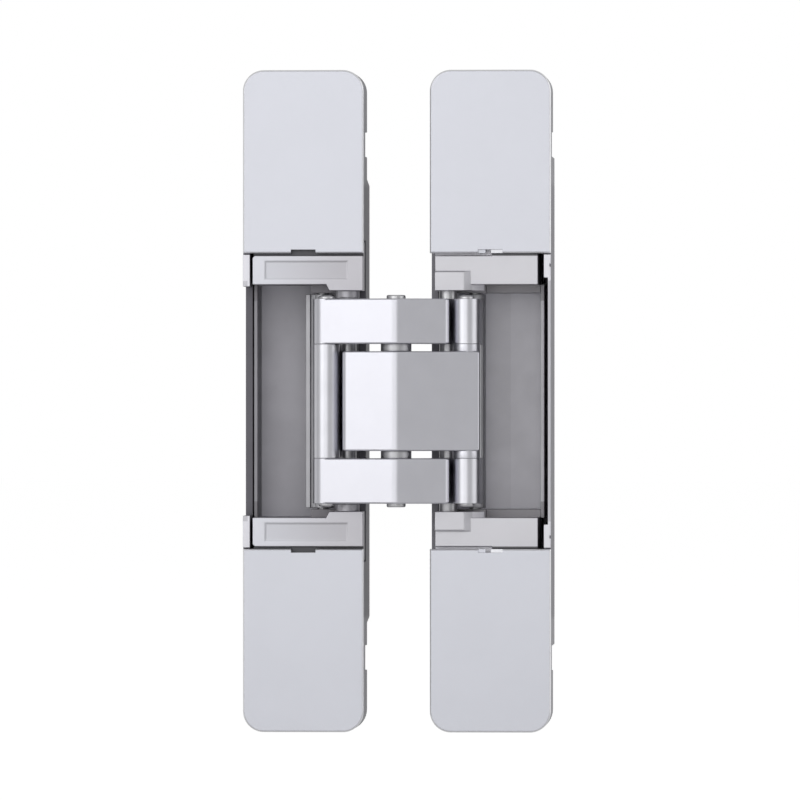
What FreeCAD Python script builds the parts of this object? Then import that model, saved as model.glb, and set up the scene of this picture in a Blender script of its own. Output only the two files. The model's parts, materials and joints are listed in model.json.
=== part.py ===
import FreeCAD, Part
import math
import os

# Concealed door hinge, shown fully open with both leaves side by side.
# X runs to the right, Y runs into the leaves, Z is up, and all sizes are in mm.
# The leaf faces lie at Y = 0 and the mechanism's middle is the Z axis.

# Leaf sizes
LEAF_LENGTH = 160.0
LEAF_WIDTH = 29.25
LEAF_SPACING = 16.0
LEAF_CORNER_R = 5.1
END_DEPTH = 14.5
END_FLOOR = 4.0
BOX_LENGTH = 108.0
BOX_DEPTH = 27.2
BOX_EDGE_R = 2.6
WALL = 1.7
WEB = 3.2
POCKET_WALL_TOP = 9.5
OUTER_WALL_TOP = 10.0
THIN_WALL = 0.75
THIN_BEYOND_POCKET = 1.6
CUT_INSIDE_POCKET = 0.5
MARK_BEYOND_POCKET = 4.6
MARK_SIZE = 0.7
BOX_END_DRAFT = 1.6
GUSSET_DEPTH = 24.5
GUSSET_LENGTH = 5.3
RELIEF_DEPTH = 1.0
RELIEF_LENGTH = 6.0
RELIEF_TOP = 7.0

# Screw holes in the leaf ends
SCREW_HOLE_R = 2.6
SCREW_SINK_R = 4.9
SCREW_PLACES = [62.0, 73.5]

# Covers
COVER_THICK = 1.4
COVER_BEVEL = 0.35
COVER_GAP = 0.6
COVER_LEG_THICK = 0.9
COVER_LEG_DEPTH = 6.0
PRY_LENGTH = 5.9
PRY_DEPTH = 0.9
PRY_LEDGE = 1.8
PRY_HOLE = 1.25

# Carriers: two end blocks joined by a pocket floor
POCKET_HEIGHT = 56.4
BLOCK_FACE = 6.9
BLOCK_HIDDEN = 3.4
BLOCK_CLEAR = 0.4
BLOCK_SIDE_GAP = 0.65
BLOCK_OVERHANG_Y = 8.2
BOSS_STEP = 1.5
BOSS_WIDTH = 7.1
BOSS_RISE = 1.5
BOSS_HEIGHT = 4.7
DOOR_INSET = 1.0
DOOR_SIDE_GAP = 1.5
DOOR_STRIP = 0.5
END_LEDGE = 1.9
END_LEDGE_Y = 12.0
BLOCK_CORNER_R = 0.8
FLOOR_THICK = 1.4
SIDE_WALL = 0.9
SIDE_WALL_TOP = 17.5
RIM_TOP = 10.5
RIM_GAP = 0.1
PAD_GAP = 0.3
PAD_EDGE = 1.2
TAB_THICK = 4.0
LABEL_DEPTH = 0.15
LABEL_START = 0.4
LABEL_EDGE = 2.95
LABEL_MARGIN = 1.2
LABEL_SLOPE = 0.35
BOSS_BEVEL = 0.3
DEPTH_TRAVEL = 1.0
SIDE_TRAVEL = 1.0
SLIDE_GAP = 0.1

# Link mechanism
PIVOT_X = 12.2
PIVOT_Y = 5.5
CROSS_Y = -2.5
BARREL_X = 16.9
BARREL_Y = -1.0
CLOSED_GAP = 5.0
APEX_Y = -8.5
APEX_R = 4.0
LINK_END_X = 12.9
LINK_END_R = 1.5
LINK_CORNER_R = 0.6
LINK_BEVEL = 0.3
BARREL_R = 3.25
EYE_R = 3.2
COLLAR_R = 2.9
COLLAR_GAP = 0.25
CROSS_BOSS_R = 4.2
PIVOT_PIN_R = 2.15
CROSS_PIN_R = 2.3
BARREL_PIN_R = 1.5
BARREL_HEAD_R = 1.95
ROCKER_PIN_R = 1.4
RUN = 0.05
CENTRE_LINK_HEIGHT = 24.0
ARM_GAP = 1.8
ARM_END_GAP = 3.5
ROCKER_ROOT_X = 18.5
ROCKER_ROOT_Y = 11.0
ROCKER_ROOT_R = 2.6
ROCKER_TURN = 0.94
ROOT_END_GAP = 2.3
HEEL_X = 22.6
DOOR_HEEL_X = 20.6
HEEL_LIP = 1.1
HEEL_GROOVE = 1.2
HEEL_WEB = 0.4
PIN_SINK = 1.0
PIN_END = 0.9

# Screws under the covers
DEPTH_SCREW_R = 3.0
DEPTH_SCREW_TIP_R = 1.6
CLAMP_SHANK_R = 2.4
CLAMP_HEAD_R = 4.2
CLAMP_HEAD_DEPTH = 2.8
SCREW_ROOM = 0.3
HEX_KEY = 3.0

# Places that follow from the sizes above
INNER_X = LEAF_SPACING / 2
OUTER_X = INNER_X + LEAF_WIDTH
MIDDLE_X = INNER_X + LEAF_WIDTH / 2
LEG_GAP = 0.15
HALF = LEAF_LENGTH / 2
BOX_HALF = BOX_LENGTH / 2
CAVITY_IN = INNER_X + WALL
CAVITY_OUT = OUTER_X - WALL
CAVITY_HALF = BOX_HALF - WALL
POCKET_HALF = POCKET_HEIGHT / 2
FACE_HALF = POCKET_HALF + BLOCK_FACE
BLOCK_HALF = FACE_HALF + BLOCK_HIDDEN
COVER_START = FACE_HALF + COVER_GAP
FLOOR_Y = BOX_DEPTH - WALL - 0.1
END_FLOOR_Y = END_DEPTH - END_FLOOR
PAD_Y = FLOOR_Y - 3.4
PAD_START = BLOCK_HALF + 1.5
TAB_END = CAVITY_HALF - 0.2
TAB_SCREW_PLACE = (BLOCK_HALF + TAB_END) / 2
RELIEF_START = BOX_HALF + GUSSET_LENGTH
END_CAVITY_START = CAVITY_HALF + WEB
END_CAVITY_STOP = HALF - WALL
CENTRE_HALF = CENTRE_LINK_HEIGHT / 2
ARM_START = CENTRE_HALF + ARM_GAP
ARM_END = POCKET_HALF - ARM_END_GAP
ROOT_HALF = POCKET_HALF - ROOT_END_GAP


def box(x0, x1, y0, y1, z0, z1):
    size = (x1 - x0, y1 - y0, z1 - z0)
    return Part.makeBox(size[0], size[1], size[2], FreeCAD.Vector(x0, y0, z0))


def rod(x, y, r, z0, z1):
    return Part.makeCylinder(r, z1 - z0, FreeCAD.Vector(x, y, z0))


def bore(x, z, r, y0, y1):
    start = FreeCAD.Vector(x, y0, z)
    return Part.makeCylinder(r, y1 - y0, start, FreeCAD.Vector(0, 1, 0))


def sink(x, z, r0, r1, y0, y1):
    start = FreeCAD.Vector(x, y0, z)
    return Part.makeCone(r0, r1, y1 - y0, start, FreeCAD.Vector(0, 1, 0))


def flip_x(shape):
    return shape.mirror(FreeCAD.Vector(0, 0, 0), FreeCAD.Vector(1, 0, 0))


def flip_z(shape):
    return shape.mirror(FreeCAD.Vector(0, 0, 0), FreeCAD.Vector(0, 0, 1))


def both_ends(shape):
    return [shape, flip_z(shape)]


def join(shapes):
    return shapes[0].multiFuse(shapes[1:]).removeSplitter()


def prism(points, z0, z1):
    corners = [FreeCAD.Vector(x, y, z0) for x, y in points]
    wire = Part.makePolygon(corners + [corners[0]])
    return Part.Face(wire).extrude(FreeCAD.Vector(0, 0, z1 - z0))


def edges_at(shape, test):
    chosen = []
    for edge in shape.Edges:
        if all(test(v.Point) for v in edge.Vertexes):
            chosen.append(edge)
    return chosen


def near(a, b):
    return abs(a - b) < 0.01


def hexagon(x, z, across, y0, y1):
    radius = across / math.sqrt(3)
    corners = []
    for i in range(7):
        turn = math.radians(60 * i)
        corners.append(FreeCAD.Vector(x + radius * math.cos(turn), y0, z + radius * math.sin(turn)))
    return Part.Face(Part.makePolygon(corners)).extrude(FreeCAD.Vector(0, y1 - y0, 0))


def rounded_block(x0, x1, y0, y1, z0, z1, r, test):
    # A block with the corners that pass the test rounded in the front view.
    block = box(x0, x1, y0, y1, z0, z1)
    chosen = []
    for edge in block.Edges:
        a = edge.Vertexes[0].Point
        b = edge.Vertexes[1].Point
        if near(a.x, b.x) and near(a.z, b.z) and test(a):
            chosen.append(edge)
    return block.makeFillet(r, chosen)


# The closed position puts the crossing pivot halfway between the leaf faces.
reach = math.hypot(PIVOT_X, PIVOT_Y - CROSS_Y)
drop = PIVOT_Y + CLOSED_GAP / 2
open_turn = math.atan2(CROSS_Y - PIVOT_Y, PIVOT_X)
closed_turn = math.atan2(-drop, -math.sqrt(reach ** 2 - drop ** 2))
LINK_TURN = closed_turn - open_turn
CROSS_RATIO = (math.pi + 2 * LINK_TURN) / LINK_TURN


def spin(turn, point):
    c = math.cos(turn)
    s = math.sin(turn)
    return (point[0] * c - point[1] * s, point[0] * s + point[1] * c)


def rocker_root(share):
    # Where the frame rocker's root lies when this share of the travel is done.
    turn = share * LINK_TURN
    cross = spin(turn, (PIVOT_X, CROSS_Y - PIVOT_Y))
    barrel = spin((1 - CROSS_RATIO) * turn, (-BARREL_X, BARREL_Y - CROSS_Y))
    root = spin(ROCKER_TURN * turn, (BARREL_X - ROCKER_ROOT_X, ROCKER_ROOT_Y - BARREL_Y))
    return (cross[0] + barrel[0] + root[0] - PIVOT_X, cross[1] + barrel[1] + root[1] + PIVOT_Y)


# The rocker pins ride in block holes that are wide enough for the whole travel.
track = [rocker_root(i / 48) for i in range(49)]
hole_x = sum(p[0] for p in track) / len(track)
hole_y = sum(p[1] for p in track) / len(track)
for step in range(400):
    far = max(track, key=lambda p: math.hypot(p[0] - hole_x, p[1] - hole_y))
    hole_x = hole_x + (far[0] - hole_x) / (step + 2)
    hole_y = hole_y + (far[1] - hole_y) / (step + 2)
ROCKER_PLAY = max(math.hypot(p[0] - hole_x, p[1] - hole_y) for p in track)
ROCKER_HOLE_X = -hole_x
ROCKER_HOLE_Y = hole_y
ROCKER_HOLE_R = ROCKER_PIN_R + ROCKER_PLAY + RUN


def housing(door):
    # One leaf: a long shallow plate with a deep open box in its middle.
    def corner(p):
        return near(abs(p.z), HALF)

    plate = rounded_block(INNER_X, OUTER_X, 0, END_DEPTH, -HALF, HALF, LEAF_CORNER_R, corner)
    outline = [(0, -BOX_HALF), (END_DEPTH, -BOX_HALF), (BOX_DEPTH, BOX_END_DRAFT - BOX_HALF),
               (BOX_DEPTH, BOX_HALF - BOX_END_DRAFT), (END_DEPTH, BOX_HALF), (0, BOX_HALF)]
    corners = [FreeCAD.Vector(INNER_X, y, z) for y, z in outline + outline[:1]]
    deep = Part.Face(Part.makePolygon(corners)).extrude(FreeCAD.Vector(LEAF_WIDTH, 0, 0))
    long_edges = [e for e in edges_at(deep, lambda p: near(p.y, BOX_DEPTH)) if e.Length > BOX_HALF]
    deep = deep.makeFillet(BOX_EDGE_R, long_edges)
    pieces = [plate, deep]
    if door:
        gusset = box(OUTER_X - WALL, OUTER_X, END_DEPTH - 1, GUSSET_DEPTH, BOX_HALF - WALL,
                     RELIEF_START)
        pieces.extend(both_ends(gusset))
    body = join(pieces)
    inner_r = LEAF_CORNER_R - WALL
    cuts = [box(CAVITY_IN, CAVITY_OUT, -1, FLOOR_Y, -PAD_START, PAD_START)]
    cuts.append(box(CAVITY_IN, CAVITY_OUT, -1, PAD_Y, -CAVITY_HALF, CAVITY_HALF))
    top = box(0, OUTER_X + 1, -1, COVER_THICK, COVER_START - COVER_GAP / 2, HALF + 1)
    cavity = rounded_block(CAVITY_IN, CAVITY_OUT, -1, END_FLOOR_Y, END_CAVITY_START,
                           END_CAVITY_STOP, inner_r, lambda p: near(p.z, END_CAVITY_STOP))
    for x in (INNER_X, OUTER_X):
        relief = box(x - RELIEF_DEPTH, x + RELIEF_DEPTH, RELIEF_TOP, END_DEPTH + 1,
                     RELIEF_START, RELIEF_START + RELIEF_LENGTH)
        cuts.extend(both_ends(relief))
    cuts.extend(both_ends(top))
    cuts.extend(both_ends(cavity))
    for place in SCREW_PLACES:
        hole = bore(MIDDLE_X, place, SCREW_HOLE_R, END_FLOOR_Y - 1, END_DEPTH + 1)
        depth = SCREW_SINK_R - SCREW_HOLE_R
        seat = sink(MIDDLE_X, place, SCREW_SINK_R, SCREW_HOLE_R, END_FLOOR_Y, END_FLOOR_Y + depth)
        cuts.extend(both_ends(hole))
        cuts.extend(both_ends(seat))
    low_half = BLOCK_HALF + BLOCK_CLEAR
    cuts.append(box(INNER_X - 1, CAVITY_IN + 0.5, -1, POCKET_WALL_TOP, -low_half, low_half))
    if door:
        # The wall beside the pocket is thinned so that the carrier can shift sideways.
        thin_half = POCKET_HALF + THIN_BEYOND_POCKET
        cuts.append(box(CAVITY_OUT - 1, OUTER_X - THIN_WALL, -1, FLOOR_Y, -thin_half, thin_half))
        place = POCKET_HALF + MARK_BEYOND_POCKET
        mark = box(OUTER_X - MARK_SIZE / 2, OUTER_X + 1, -1, MARK_SIZE,
                   place - MARK_SIZE / 2, place + MARK_SIZE / 2)
        cuts.extend(both_ends(mark))
        screw = bore(MIDDLE_X, TAB_SCREW_PLACE, CLAMP_SHANK_R, PAD_Y - 1, BOX_DEPTH - 0.6)
        room = bore(MIDDLE_X, TAB_SCREW_PLACE, CLAMP_HEAD_R + SCREW_ROOM, -1, PAD_Y)
    else:
        cut_half = POCKET_HALF - CUT_INSIDE_POCKET
        cuts.append(box(CAVITY_OUT - 1, OUTER_X + 1, -1, OUTER_WALL_TOP,
                        -cut_half, cut_half))
        screw = bore(MIDDLE_X, TAB_SCREW_PLACE, DEPTH_SCREW_TIP_R, PAD_Y - 1, BOX_DEPTH - 1.2)
        room = bore(MIDDLE_X, TAB_SCREW_PLACE, DEPTH_SCREW_R + SCREW_ROOM, -1, PAD_Y)
    cuts.extend(both_ends(screw))
    cuts.extend(both_ends(room))
    body = body.cut(cuts).removeSplitter()
    return body


def cover(door):
    # A flat cap over one leaf end, held by snap legs that reach down beside the walls.
    def corner(p):
        return near(p.z, HALF)

    cap = rounded_block(INNER_X, OUTER_X, 0, COVER_THICK, COVER_START, HALF, LEAF_CORNER_R, corner)
    cap = cap.makeChamfer(COVER_BEVEL, edges_at(cap, lambda p: near(p.y, 0)))
    parts = [cap]
    # Each leg takes the middle third of the cavity that it reaches into.
    for start, stop in ((BLOCK_HALF, CAVITY_HALF), (END_CAVITY_START, END_CAVITY_STOP)):
        low = start + (stop - start) / 3
        high = stop - (stop - start) / 3
        bottom = COVER_THICK + COVER_LEG_DEPTH
        inner = CAVITY_IN + LEG_GAP
        outer = CAVITY_OUT - LEG_GAP
        parts.append(box(inner, inner + COVER_LEG_THICK, COVER_THICK, bottom, low, high))
        parts.append(box(outer - COVER_LEG_THICK, outer, COVER_THICK, bottom, low, high))
    body = join(parts)
    start = MIDDLE_X - PRY_LENGTH / 2
    stop = MIDDLE_X + PRY_LENGTH / 2
    edge = COVER_START + PRY_DEPTH
    if not door:
        return body.cut(box(start, stop, -1, COVER_THICK + 1, COVER_START - 1, edge))
    # The door side's pry slot is a short hole between a ledge and a shallow step.
    hole = start + PRY_LEDGE
    ledge = box(start, hole, -1, COVER_THICK / 2, COVER_START - 1, edge)
    through = box(hole, hole + PRY_HOLE, -1, COVER_THICK + 1, COVER_START - 1, edge)
    step = box(hole + PRY_HOLE, stop, -1, COVER_BEVEL, COVER_START - 1, edge)
    return body.cut([ledge, through, step])


def label_recess(face_y, outer):
    # The cut for a shallow field with sloping sides on a block face.
    low = POCKET_HALF + LABEL_MARGIN
    high = FACE_HALF - LABEL_MARGIN
    rings = []
    for y, inset in ((face_y, 0), (face_y + LABEL_DEPTH, LABEL_SLOPE)):
        x0 = PIVOT_X - LABEL_START + inset
        x1 = outer - inset
        z0 = low + inset
        z1 = high - inset
        corners = [FreeCAD.Vector(x, y, z) for x, z in ((x0, z0), (x1, z0), (x1, z1), (x0, z1))]
        rings.append(Part.makePolygon(corners + [corners[0]]))
    return Part.makeLoft(rings, True, True)


def carrier(door):
    # Two end blocks that hold the pins, joined by the pocket floor and low side walls.
    if door:
        side_gap = SIDE_TRAVEL + 0.2
        bottom = FLOOR_Y - SLIDE_GAP
        tab_bottom = PAD_Y - SLIDE_GAP
        face_in = INNER_X + DOOR_INSET + 0.2
        face_out = CAVITY_OUT - DOOR_SIDE_GAP
        face_y = BOSS_RISE
    else:
        side_gap = 0.25
        bottom = FLOOR_Y - DEPTH_TRAVEL - 0.2
        tab_bottom = PAD_Y - DEPTH_TRAVEL - 0.2
        face_in = INNER_X + 0.2
        face_out = CAVITY_OUT - BLOCK_SIDE_GAP
        face_y = 0.0
    low_in = CAVITY_IN + side_gap
    low_out = CAVITY_OUT - side_gap
    block_out = min(face_out, low_out)
    parts = [box(low_in, low_out, bottom - FLOOR_THICK, bottom, -BLOCK_HALF, BLOCK_HALF)]
    parts.append(box(low_in, low_in + SIDE_WALL, SIDE_WALL_TOP, bottom,
                     -BLOCK_HALF, BLOCK_HALF))
    # The outer rim stands higher, and on the door side it moves in the thinned wall's room.
    rim_out = low_out
    if door:
        rim_out = OUTER_X - THIN_WALL - side_gap
    rim_half = POCKET_HALF + RIM_GAP
    parts.append(box(low_out - SIDE_WALL, rim_out, bottom - FLOOR_THICK, bottom, -rim_half, rim_half))
    parts.append(box(rim_out - SIDE_WALL, rim_out, RIM_TOP, bottom, -rim_half, rim_half))

    def corner(p):
        return not door and near(p.x, block_out) and near(p.z, FACE_HALF)

    hidden_y = COVER_THICK + DEPTH_TRAVEL + 0.3
    boss_start = POCKET_HALF - BOSS_STEP
    boss_out = face_in + BOSS_WIDTH
    main = box(low_in, block_out, face_y, bottom, POCKET_HALF, FACE_HALF)
    if not door:
        main = rounded_block(low_in, block_out, face_y, bottom, POCKET_HALF, FACE_HALF,
                             BLOCK_CORNER_R, corner)
    head = box(face_in, block_out - 1, face_y, BLOCK_OVERHANG_Y, POCKET_HALF, FACE_HALF)
    rear = box(low_in, block_out, hidden_y, bottom, FACE_HALF, BLOCK_HALF)
    step = box(face_in, block_out - 1, hidden_y, BLOCK_OVERHANG_Y, FACE_HALF, BLOCK_HALF)
    tab = box(low_in, low_out, tab_bottom - TAB_THICK, tab_bottom, BLOCK_HALF, TAB_END)
    # A pad round the rocker pin's hole reaches down to the rocker's end.
    pad_reach = ROCKER_HOLE_R + PAD_EDGE
    pad = box(ROCKER_HOLE_X - pad_reach, ROCKER_HOLE_X + pad_reach, ROCKER_HOLE_Y - pad_reach,
              ROCKER_HOLE_Y + pad_reach, ROOT_HALF + PAD_GAP, POCKET_HALF + 1)
    blocks = [main, head, rear, step, tab, pad]
    # A boss around the pivot pin reaches a little further into the pocket.
    if door:
        outline = [(face_in, 0), (boss_out, 0), (boss_out + BOSS_RISE + 3.2, BOSS_RISE + 3.2),
                   (boss_out + BOSS_RISE + 3.2, BLOCK_OVERHANG_Y), (face_in, BLOCK_OVERHANG_Y)]
        boss = prism(outline, boss_start, boss_start + BOSS_HEIGHT)
        boss_top = boss_start + BOSS_HEIGHT
        rim = edges_at(boss, lambda p: near(p.z, boss_top) and near(p.y, 0))
        blocks.append(boss.makeChamfer(BOSS_BEVEL, rim))
        blocks.append(box(MIDDLE_X + 0.3, block_out, face_y, hidden_y + 1, FACE_HALF,
                          FACE_HALF + DOOR_STRIP))
        blocks.append(box(low_in, low_out, END_LEDGE_Y, bottom, POCKET_HALF - END_LEDGE,
                          POCKET_HALF))
    else:
        outline = [(face_in, boss_start), (boss_out + 1, boss_start),
                   (boss_out + 1 + BOSS_STEP / 2, POCKET_HALF), (face_in, POCKET_HALF)]
        corners = [FreeCAD.Vector(x, face_y, z) for x, z in outline + outline[:1]]
        boss = Part.Face(Part.makePolygon(corners))
        blocks.append(boss.extrude(FreeCAD.Vector(0, BLOCK_OVERHANG_Y - face_y, 0)))
        # A round collar on the boss steadies the pivot pin close to the fork.
        blocks.append(rod(PIVOT_X, PIVOT_Y, COLLAR_R, ARM_END + COLLAR_GAP, boss_start))
    for shape in blocks:
        parts.extend(both_ends(shape))
    body = join(parts)
    cuts = [rod(PIVOT_X, PIVOT_Y, PIVOT_PIN_R, -HALF, HALF)]
    cuts.append(rod(ROCKER_HOLE_X, ROCKER_HOLE_Y, ROCKER_HOLE_R, -HALF, HALF))
    top = tab_bottom - TAB_THICK - 1
    if door:
        width = CLAMP_SHANK_R + 0.1
        left = MIDDLE_X - SIDE_TRAVEL - 0.1
        right = MIDDLE_X + SIDE_TRAVEL + 0.1
        slot = [box(left, right, top, tab_bottom + 1, TAB_SCREW_PLACE - width,
                    TAB_SCREW_PLACE + width)]
        slot.append(bore(left, TAB_SCREW_PLACE, width, top, tab_bottom + 1))
        slot.append(bore(right, TAB_SCREW_PLACE, width, top, tab_bottom + 1))
        head_r = CLAMP_HEAD_R + SCREW_ROOM
        slot.append(box(left, right, -1, tab_bottom - TAB_THICK, TAB_SCREW_PLACE - head_r,
                        TAB_SCREW_PLACE + head_r))
        slot.append(bore(left, TAB_SCREW_PLACE, head_r, -1, tab_bottom - TAB_THICK))
        slot.append(bore(right, TAB_SCREW_PLACE, head_r, -1, tab_bottom - TAB_THICK))
        for shape in slot:
            cuts.extend(both_ends(shape))
    else:
        hole = bore(MIDDLE_X, TAB_SCREW_PLACE, DEPTH_SCREW_R + RUN, top, tab_bottom + 1)
        cuts.extend(both_ends(hole))
        cuts.extend(both_ends(label_recess(face_y, face_out - LABEL_EDGE)))
    return body.cut(cuts).removeSplitter()


slant_x = BARREL_X
slant_y = BARREL_Y - APEX_Y
SLOPE = math.acos(BARREL_R / math.hypot(slant_x, slant_y)) - math.atan2(slant_x, slant_y)


def link(z0, z1, square_end):
    # A link in the fork's position: barrel on the left, crossing pivot, eye on the right.
    start = [(-BARREL_X - BARREL_R * math.sin(SLOPE), BARREL_Y - BARREL_R * math.cos(SLOPE))]
    corner_y = APEX_Y + (BARREL_X + BARREL_R) * math.tan(SLOPE)
    if square_end:
        start = [(-BARREL_X - BARREL_R, BARREL_Y), (-BARREL_X - BARREL_R, corner_y)]
    end_y = APEX_Y + LINK_END_X * math.tan(SLOPE)
    back_y = CROSS_Y + CROSS_BOSS_R - 0.3
    eye_cos = EYE_R * math.cos(math.radians(20))
    eye_sin = EYE_R * math.sin(math.radians(20))
    points = start + [(0, APEX_Y), (LINK_END_X, end_y), (LINK_END_X, CROSS_Y + 3.0)]
    points.append((PIVOT_X + eye_cos, PIVOT_Y - eye_sin))
    points.append((PIVOT_X - eye_cos, PIVOT_Y + eye_sin))
    points.append((CROSS_BOSS_R, back_y))
    points.append((-CROSS_BOSS_R, back_y))
    points.append((-BARREL_X + 0.8, BARREL_Y + BARREL_R - 0.25))
    body = prism(points, z0, z1)
    apex = edges_at(body, lambda p: near(p.x, 0) and near(p.y, APEX_Y))
    body = body.makeFillet(APEX_R, apex)
    corner = edges_at(body, lambda p: near(p.x, LINK_END_X) and near(p.y, end_y))
    body = body.makeFillet(LINK_END_R, corner)
    if square_end:
        corner = edges_at(body, lambda p: near(p.y, corner_y))
        body = body.makeFillet(LINK_CORNER_R, corner)
    front = edges_at(body, lambda p: p.y < max(end_y + LINK_END_R, corner_y + LINK_CORNER_R) + 0.1)
    rims = [e for e in front if near(e.Vertexes[0].Z, e.Vertexes[-1].Z)]
    body = body.makeChamfer(LINK_BEVEL, rims)
    barrel = rod(-BARREL_X, BARREL_Y, BARREL_R, z0, z1)
    eye = rod(PIVOT_X, PIVOT_Y, EYE_R, z0, z1)
    boss = rod(0, CROSS_Y, CROSS_BOSS_R, z0, z1)
    return join([body, barrel, eye, boss])


def rocker(arms, heel_x, arm_back):
    # A rocker on the door side: barrel at the front, root and heel at the back.
    root = rod(ROCKER_ROOT_X, ROCKER_ROOT_Y, ROCKER_ROOT_R, -ROOT_HALF, ROOT_HALF)
    heel = prism([(ROCKER_ROOT_X, ROCKER_ROOT_Y - ROCKER_ROOT_R + 0.4),
                  (heel_x, ROCKER_ROOT_Y - ROCKER_ROOT_R + 0.9),
                  (heel_x, ROCKER_ROOT_Y + 0.6),
                  (ROCKER_ROOT_X, ROCKER_ROOT_Y + ROCKER_ROOT_R - 0.3)], -ROOT_HALF, ROOT_HALF)
    parts = [root, heel]
    for z0, z1 in arms:
        parts.append(rod(BARREL_X, BARREL_Y, BARREL_R, z0, z1))
        parts.append(prism([(BARREL_X - 1.3, BARREL_Y + 2.4), (BARREL_X + 2.9, BARREL_Y + 0.9),
                            (arm_back, ROCKER_ROOT_Y - 2.2),
                            (ROCKER_ROOT_X + 1.6, ROCKER_ROOT_Y + 1.6),
                            (ROCKER_ROOT_X - 1.9, ROCKER_ROOT_Y - 1.2)], z0, z1))
    body = join(parts)
    body = body.cut(rod(ROCKER_ROOT_X, ROCKER_ROOT_Y, ROCKER_PIN_R, -HALF, HALF))
    return body.cut(rod(BARREL_X, BARREL_Y, BARREL_PIN_R + RUN, -HALF, HALF))


def ended_pin(x, y, r, half, bevel):
    pin = rod(x, y, r, -half, half)
    ends = [e for e in pin.Edges if e.Closed]
    return pin.makeChamfer(bevel, ends)


def headed_pin(x, y):
    shank = rod(x, y, BARREL_PIN_R, -ARM_END - RUN, ARM_END + RUN)
    head = rod(x, y, BARREL_HEAD_R, ARM_END + RUN, ARM_END + RUN + PIN_END)
    rim = [e for e in head.Edges if e.Closed and e.Vertexes[0].Z > ARM_END + PIN_END]
    head = head.makeChamfer(0.4, rim)
    return join([shank] + both_ends(head))


def ring(x, y, outer, inner, z0, z1):
    return rod(x, y, outer, z0, z1).cut(rod(x, y, inner, z0, z1))


def depth_screw():
    # Turning it lifts or lowers the frame carrier on its thread.
    head_y = PAD_Y - DEPTH_TRAVEL - 0.2 - TAB_THICK - 2 * DEPTH_TRAVEL
    shank = bore(MIDDLE_X, TAB_SCREW_PLACE, DEPTH_SCREW_R, head_y, PAD_Y)
    tip = bore(MIDDLE_X, TAB_SCREW_PLACE, DEPTH_SCREW_TIP_R, PAD_Y, BOX_DEPTH - 1.2)
    return join([shank, tip]).cut(hexagon(MIDDLE_X, TAB_SCREW_PLACE, HEX_KEY, head_y, head_y + 3))


def clamp_screw():
    # Loosening it lets the door carrier shift sideways along its slot.
    seat = PAD_Y - SLIDE_GAP - TAB_THICK
    head = bore(MIDDLE_X, TAB_SCREW_PLACE, CLAMP_HEAD_R, seat - CLAMP_HEAD_DEPTH, seat)
    shank = bore(MIDDLE_X, TAB_SCREW_PLACE, CLAMP_SHANK_R, seat, BOX_DEPTH - 0.6)
    key = hexagon(MIDDLE_X, TAB_SCREW_PLACE, HEX_KEY, seat - CLAMP_HEAD_DEPTH, seat - 0.9)
    return join([head, shank]).cut(key)


nodes = {}

# Leaves
nodes["frame_housing"] = flip_x(housing(False))
nodes["door_housing"] = housing(True)
nodes["frame_cover_upper"] = flip_x(cover(False))
nodes["frame_cover_lower"] = flip_z(nodes["frame_cover_upper"])
nodes["door_cover_upper"] = cover(True)
nodes["door_cover_lower"] = flip_z(nodes["door_cover_upper"])

# Carriers and their pivot pins
pin_half = BLOCK_HALF - PIN_SINK
nodes["frame_carrier"] = flip_x(carrier(False))
nodes["door_carrier"] = carrier(True)
nodes["frame_pivot_pin"] = rod(-PIVOT_X, PIVOT_Y, PIVOT_PIN_R, -pin_half, pin_half)
nodes["door_pivot_pin"] = rod(PIVOT_X, PIVOT_Y, PIVOT_PIN_R, -pin_half, pin_half)

# Fork link: two arms that turn on the door pivot pin
arm = link(ARM_START, ARM_END, False)
arm = arm.cut(rod(-BARREL_X, BARREL_Y, BARREL_PIN_R, -HALF, HALF))
arm = arm.cut(rod(0, CROSS_Y, CROSS_PIN_R, -HALF, HALF))
arm = arm.cut(rod(PIVOT_X, PIVOT_Y, PIVOT_PIN_R + RUN, -HALF, HALF))
nodes["fork_link_upper"] = arm
nodes["fork_link_lower"] = flip_z(arm)
nodes["fork_barrel_pin"] = headed_pin(-BARREL_X, BARREL_Y)
nodes["centre_pin"] = ended_pin(0, CROSS_Y, CROSS_PIN_R, ARM_END + PIN_END, 0.4)
washer = ring(0, CROSS_Y, CROSS_PIN_R + 1.4, CROSS_PIN_R, CENTRE_HALF + RUN, ARM_START)
nodes["centre_washer_upper"] = washer
nodes["centre_washer_lower"] = flip_z(washer)

# Centre link: one wide piece that turns on the frame pivot pin
middle = flip_x(link(-CENTRE_HALF, CENTRE_HALF, True))
middle = middle.cut(rod(BARREL_X, BARREL_Y, BARREL_PIN_R, -HALF, HALF))
middle = middle.cut(rod(0, CROSS_Y, CROSS_PIN_R + RUN, -HALF, HALF))
middle = middle.cut(rod(-PIVOT_X, PIVOT_Y, PIVOT_PIN_R + RUN, -HALF, HALF))
nodes["centre_link"] = middle
nodes["centre_link_barrel_pin"] = headed_pin(BARREL_X, BARREL_Y)
spacer = ring(BARREL_X, BARREL_Y, BARREL_R, BARREL_PIN_R, CENTRE_HALF, ARM_START - RUN)
nodes["barrel_spacer_upper"] = spacer
nodes["barrel_spacer_lower"] = flip_z(spacer)

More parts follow.
